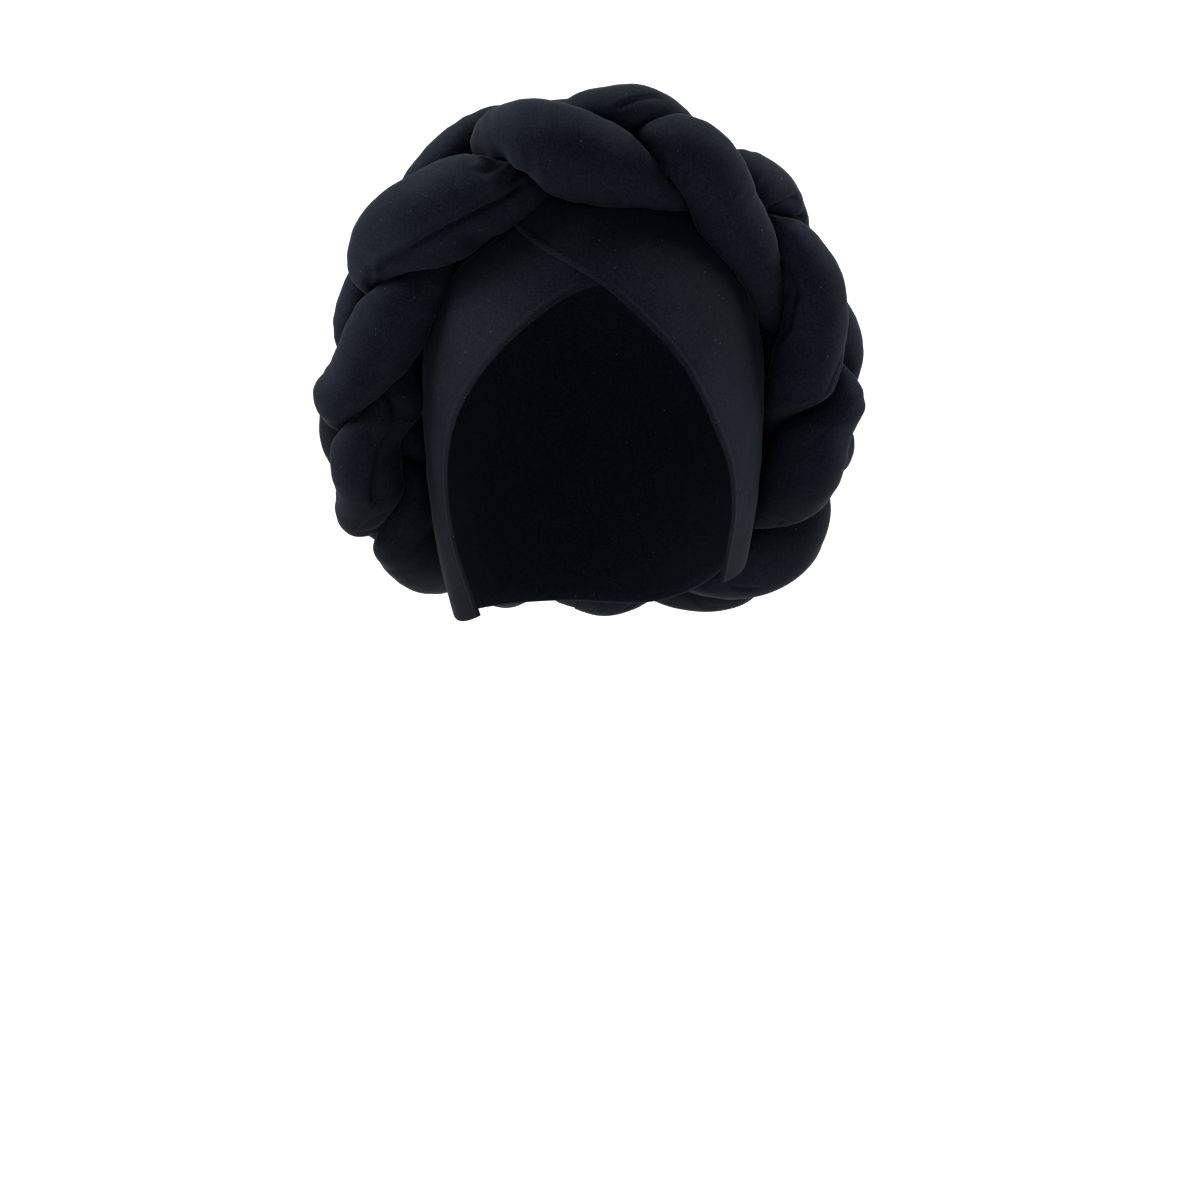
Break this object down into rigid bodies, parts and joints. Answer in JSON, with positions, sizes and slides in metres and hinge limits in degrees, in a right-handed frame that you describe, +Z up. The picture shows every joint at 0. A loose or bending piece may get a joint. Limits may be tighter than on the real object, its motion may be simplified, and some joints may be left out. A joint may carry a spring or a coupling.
{
  "type": "turban headwrap",
  "caption": "Pre-tied jersey turban: snug cap with a crossed front band and a thick padded plait lying round it as a halo.",
  "frame": {"origin": "inner apex of the cap, where the top of the head touches it", "axes": "+Z up along the worn head, -Y the way the face looks, +X towards the wearer's left"},
  "size_m": [0.2705, 0.2309, 0.27],
  "materials": {
    "cap_jersey": "very dark blue-black matte cotton jersey, fine knit",
    "panel_jersey": "very dark blue-black matte cotton jersey, stretched flat, with a soft turned hem",
    "plait_jersey": "very dark blue-black matte cotton jersey over soft padding, faint fuzzy sheen"
  },
  "bodies": {
    "root": {"cap_crown": "cap_jersey", "front_panel_under": "panel_jersey", "front_panel_over": "panel_jersey", "strand_1": "plait_jersey", "strand_2": "plait_jersey", "strand_3": "plait_jersey"}
  },
  "joints": []
}
